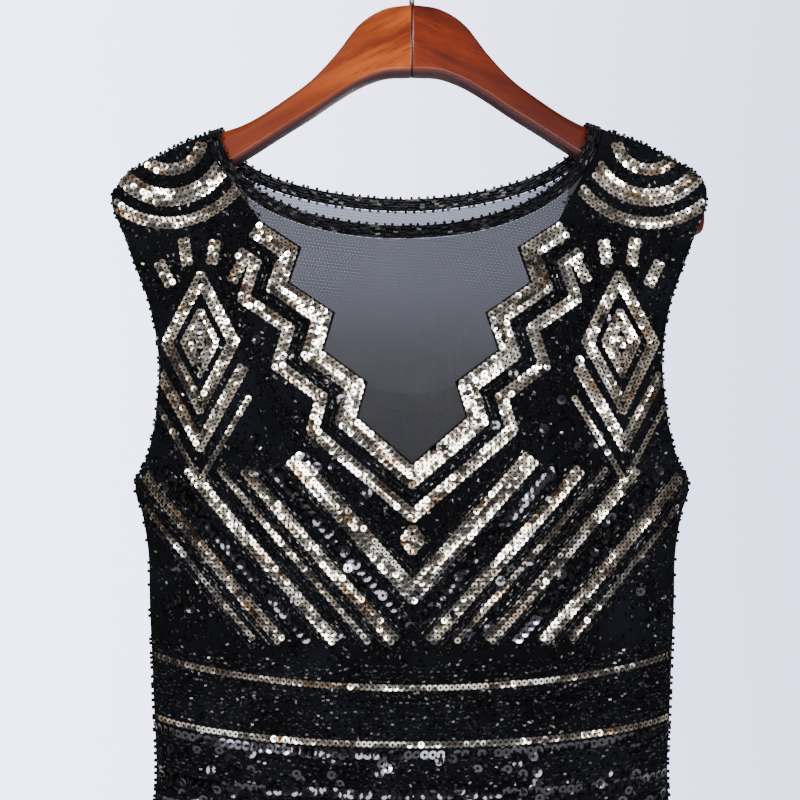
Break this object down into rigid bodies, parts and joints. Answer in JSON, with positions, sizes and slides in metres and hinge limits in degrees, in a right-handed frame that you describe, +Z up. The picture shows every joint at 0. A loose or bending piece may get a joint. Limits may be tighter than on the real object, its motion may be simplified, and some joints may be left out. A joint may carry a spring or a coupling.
{
  "type": "sequin mini dress on a hanger",
  "caption": "Sleeveless beaded mini dress with a sheer toothed yoke, hanging open and hollow from a contoured wooden hanger with a wire hook.",
  "frame": {"origin": "inner top of the hanger's hook, where the rail carries it", "axes": "+Z up, -Y out of the front of the dress, +X to the right as seen from the front"},
  "size_m": [0.429, 0.0949, 1.0208],
  "materials": {
    "beaded_cloth": "black net sewn with black beads and champagne sequins",
    "sheer_net": "sheer black tulle",
    "bead_band": "rows of glossy black glass beads",
    "hanger_wood": "red-brown lacquered hardwood",
    "hook_steel": "dark steel wire"
  },
  "bodies": {
    "root": {"front_bodice": "beaded_cloth", "back_bodice": "beaded_cloth", "front_skirt": "beaded_cloth", "back_skirt": "beaded_cloth", "front_yoke": "sheer_net", "back_yoke": "sheer_net", "front_neck_band": "bead_band", "back_neck_band": "bead_band", "hanger_arm_left": "hanger_wood", "hanger_arm_right": "hanger_wood", "hanger_hook": "hook_steel"}
  },
  "joints": []
}
